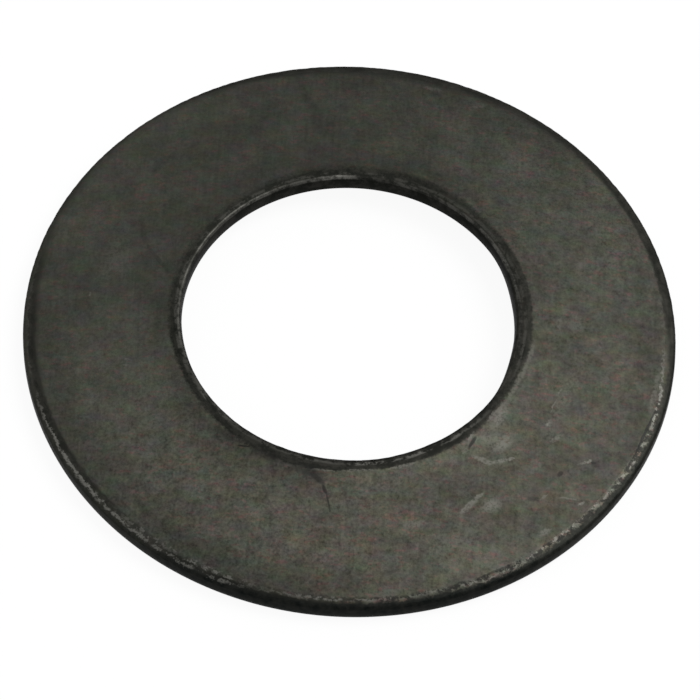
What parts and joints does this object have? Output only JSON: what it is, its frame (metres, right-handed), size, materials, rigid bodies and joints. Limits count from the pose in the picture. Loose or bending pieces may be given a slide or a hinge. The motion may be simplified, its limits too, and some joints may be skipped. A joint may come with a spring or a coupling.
{
  "type": "belleville washer",
  "caption": "Plain conical disc spring of dark oxidised steel: a flat strip ring pressed to a shallow cone, with rolled upper edges and a round bore, for preload and stacks.",
  "frame": {"origin": "centre of the circle the spring stands on, at its wide lower edge", "axes": "+Z is the spring's axis and points up, out of the small crowned end of the cone; X and Y lie in the plane it stands on"},
  "size_m": [0.0355, 0.0354, 0.0022],
  "materials": {
    "spring_steel": "matte black oxide on tumbled spring steel, worn bright along the upper edges"
  },
  "bodies": {
    "root": {"disc_spring": "spring_steel"}
  },
  "joints": []
}
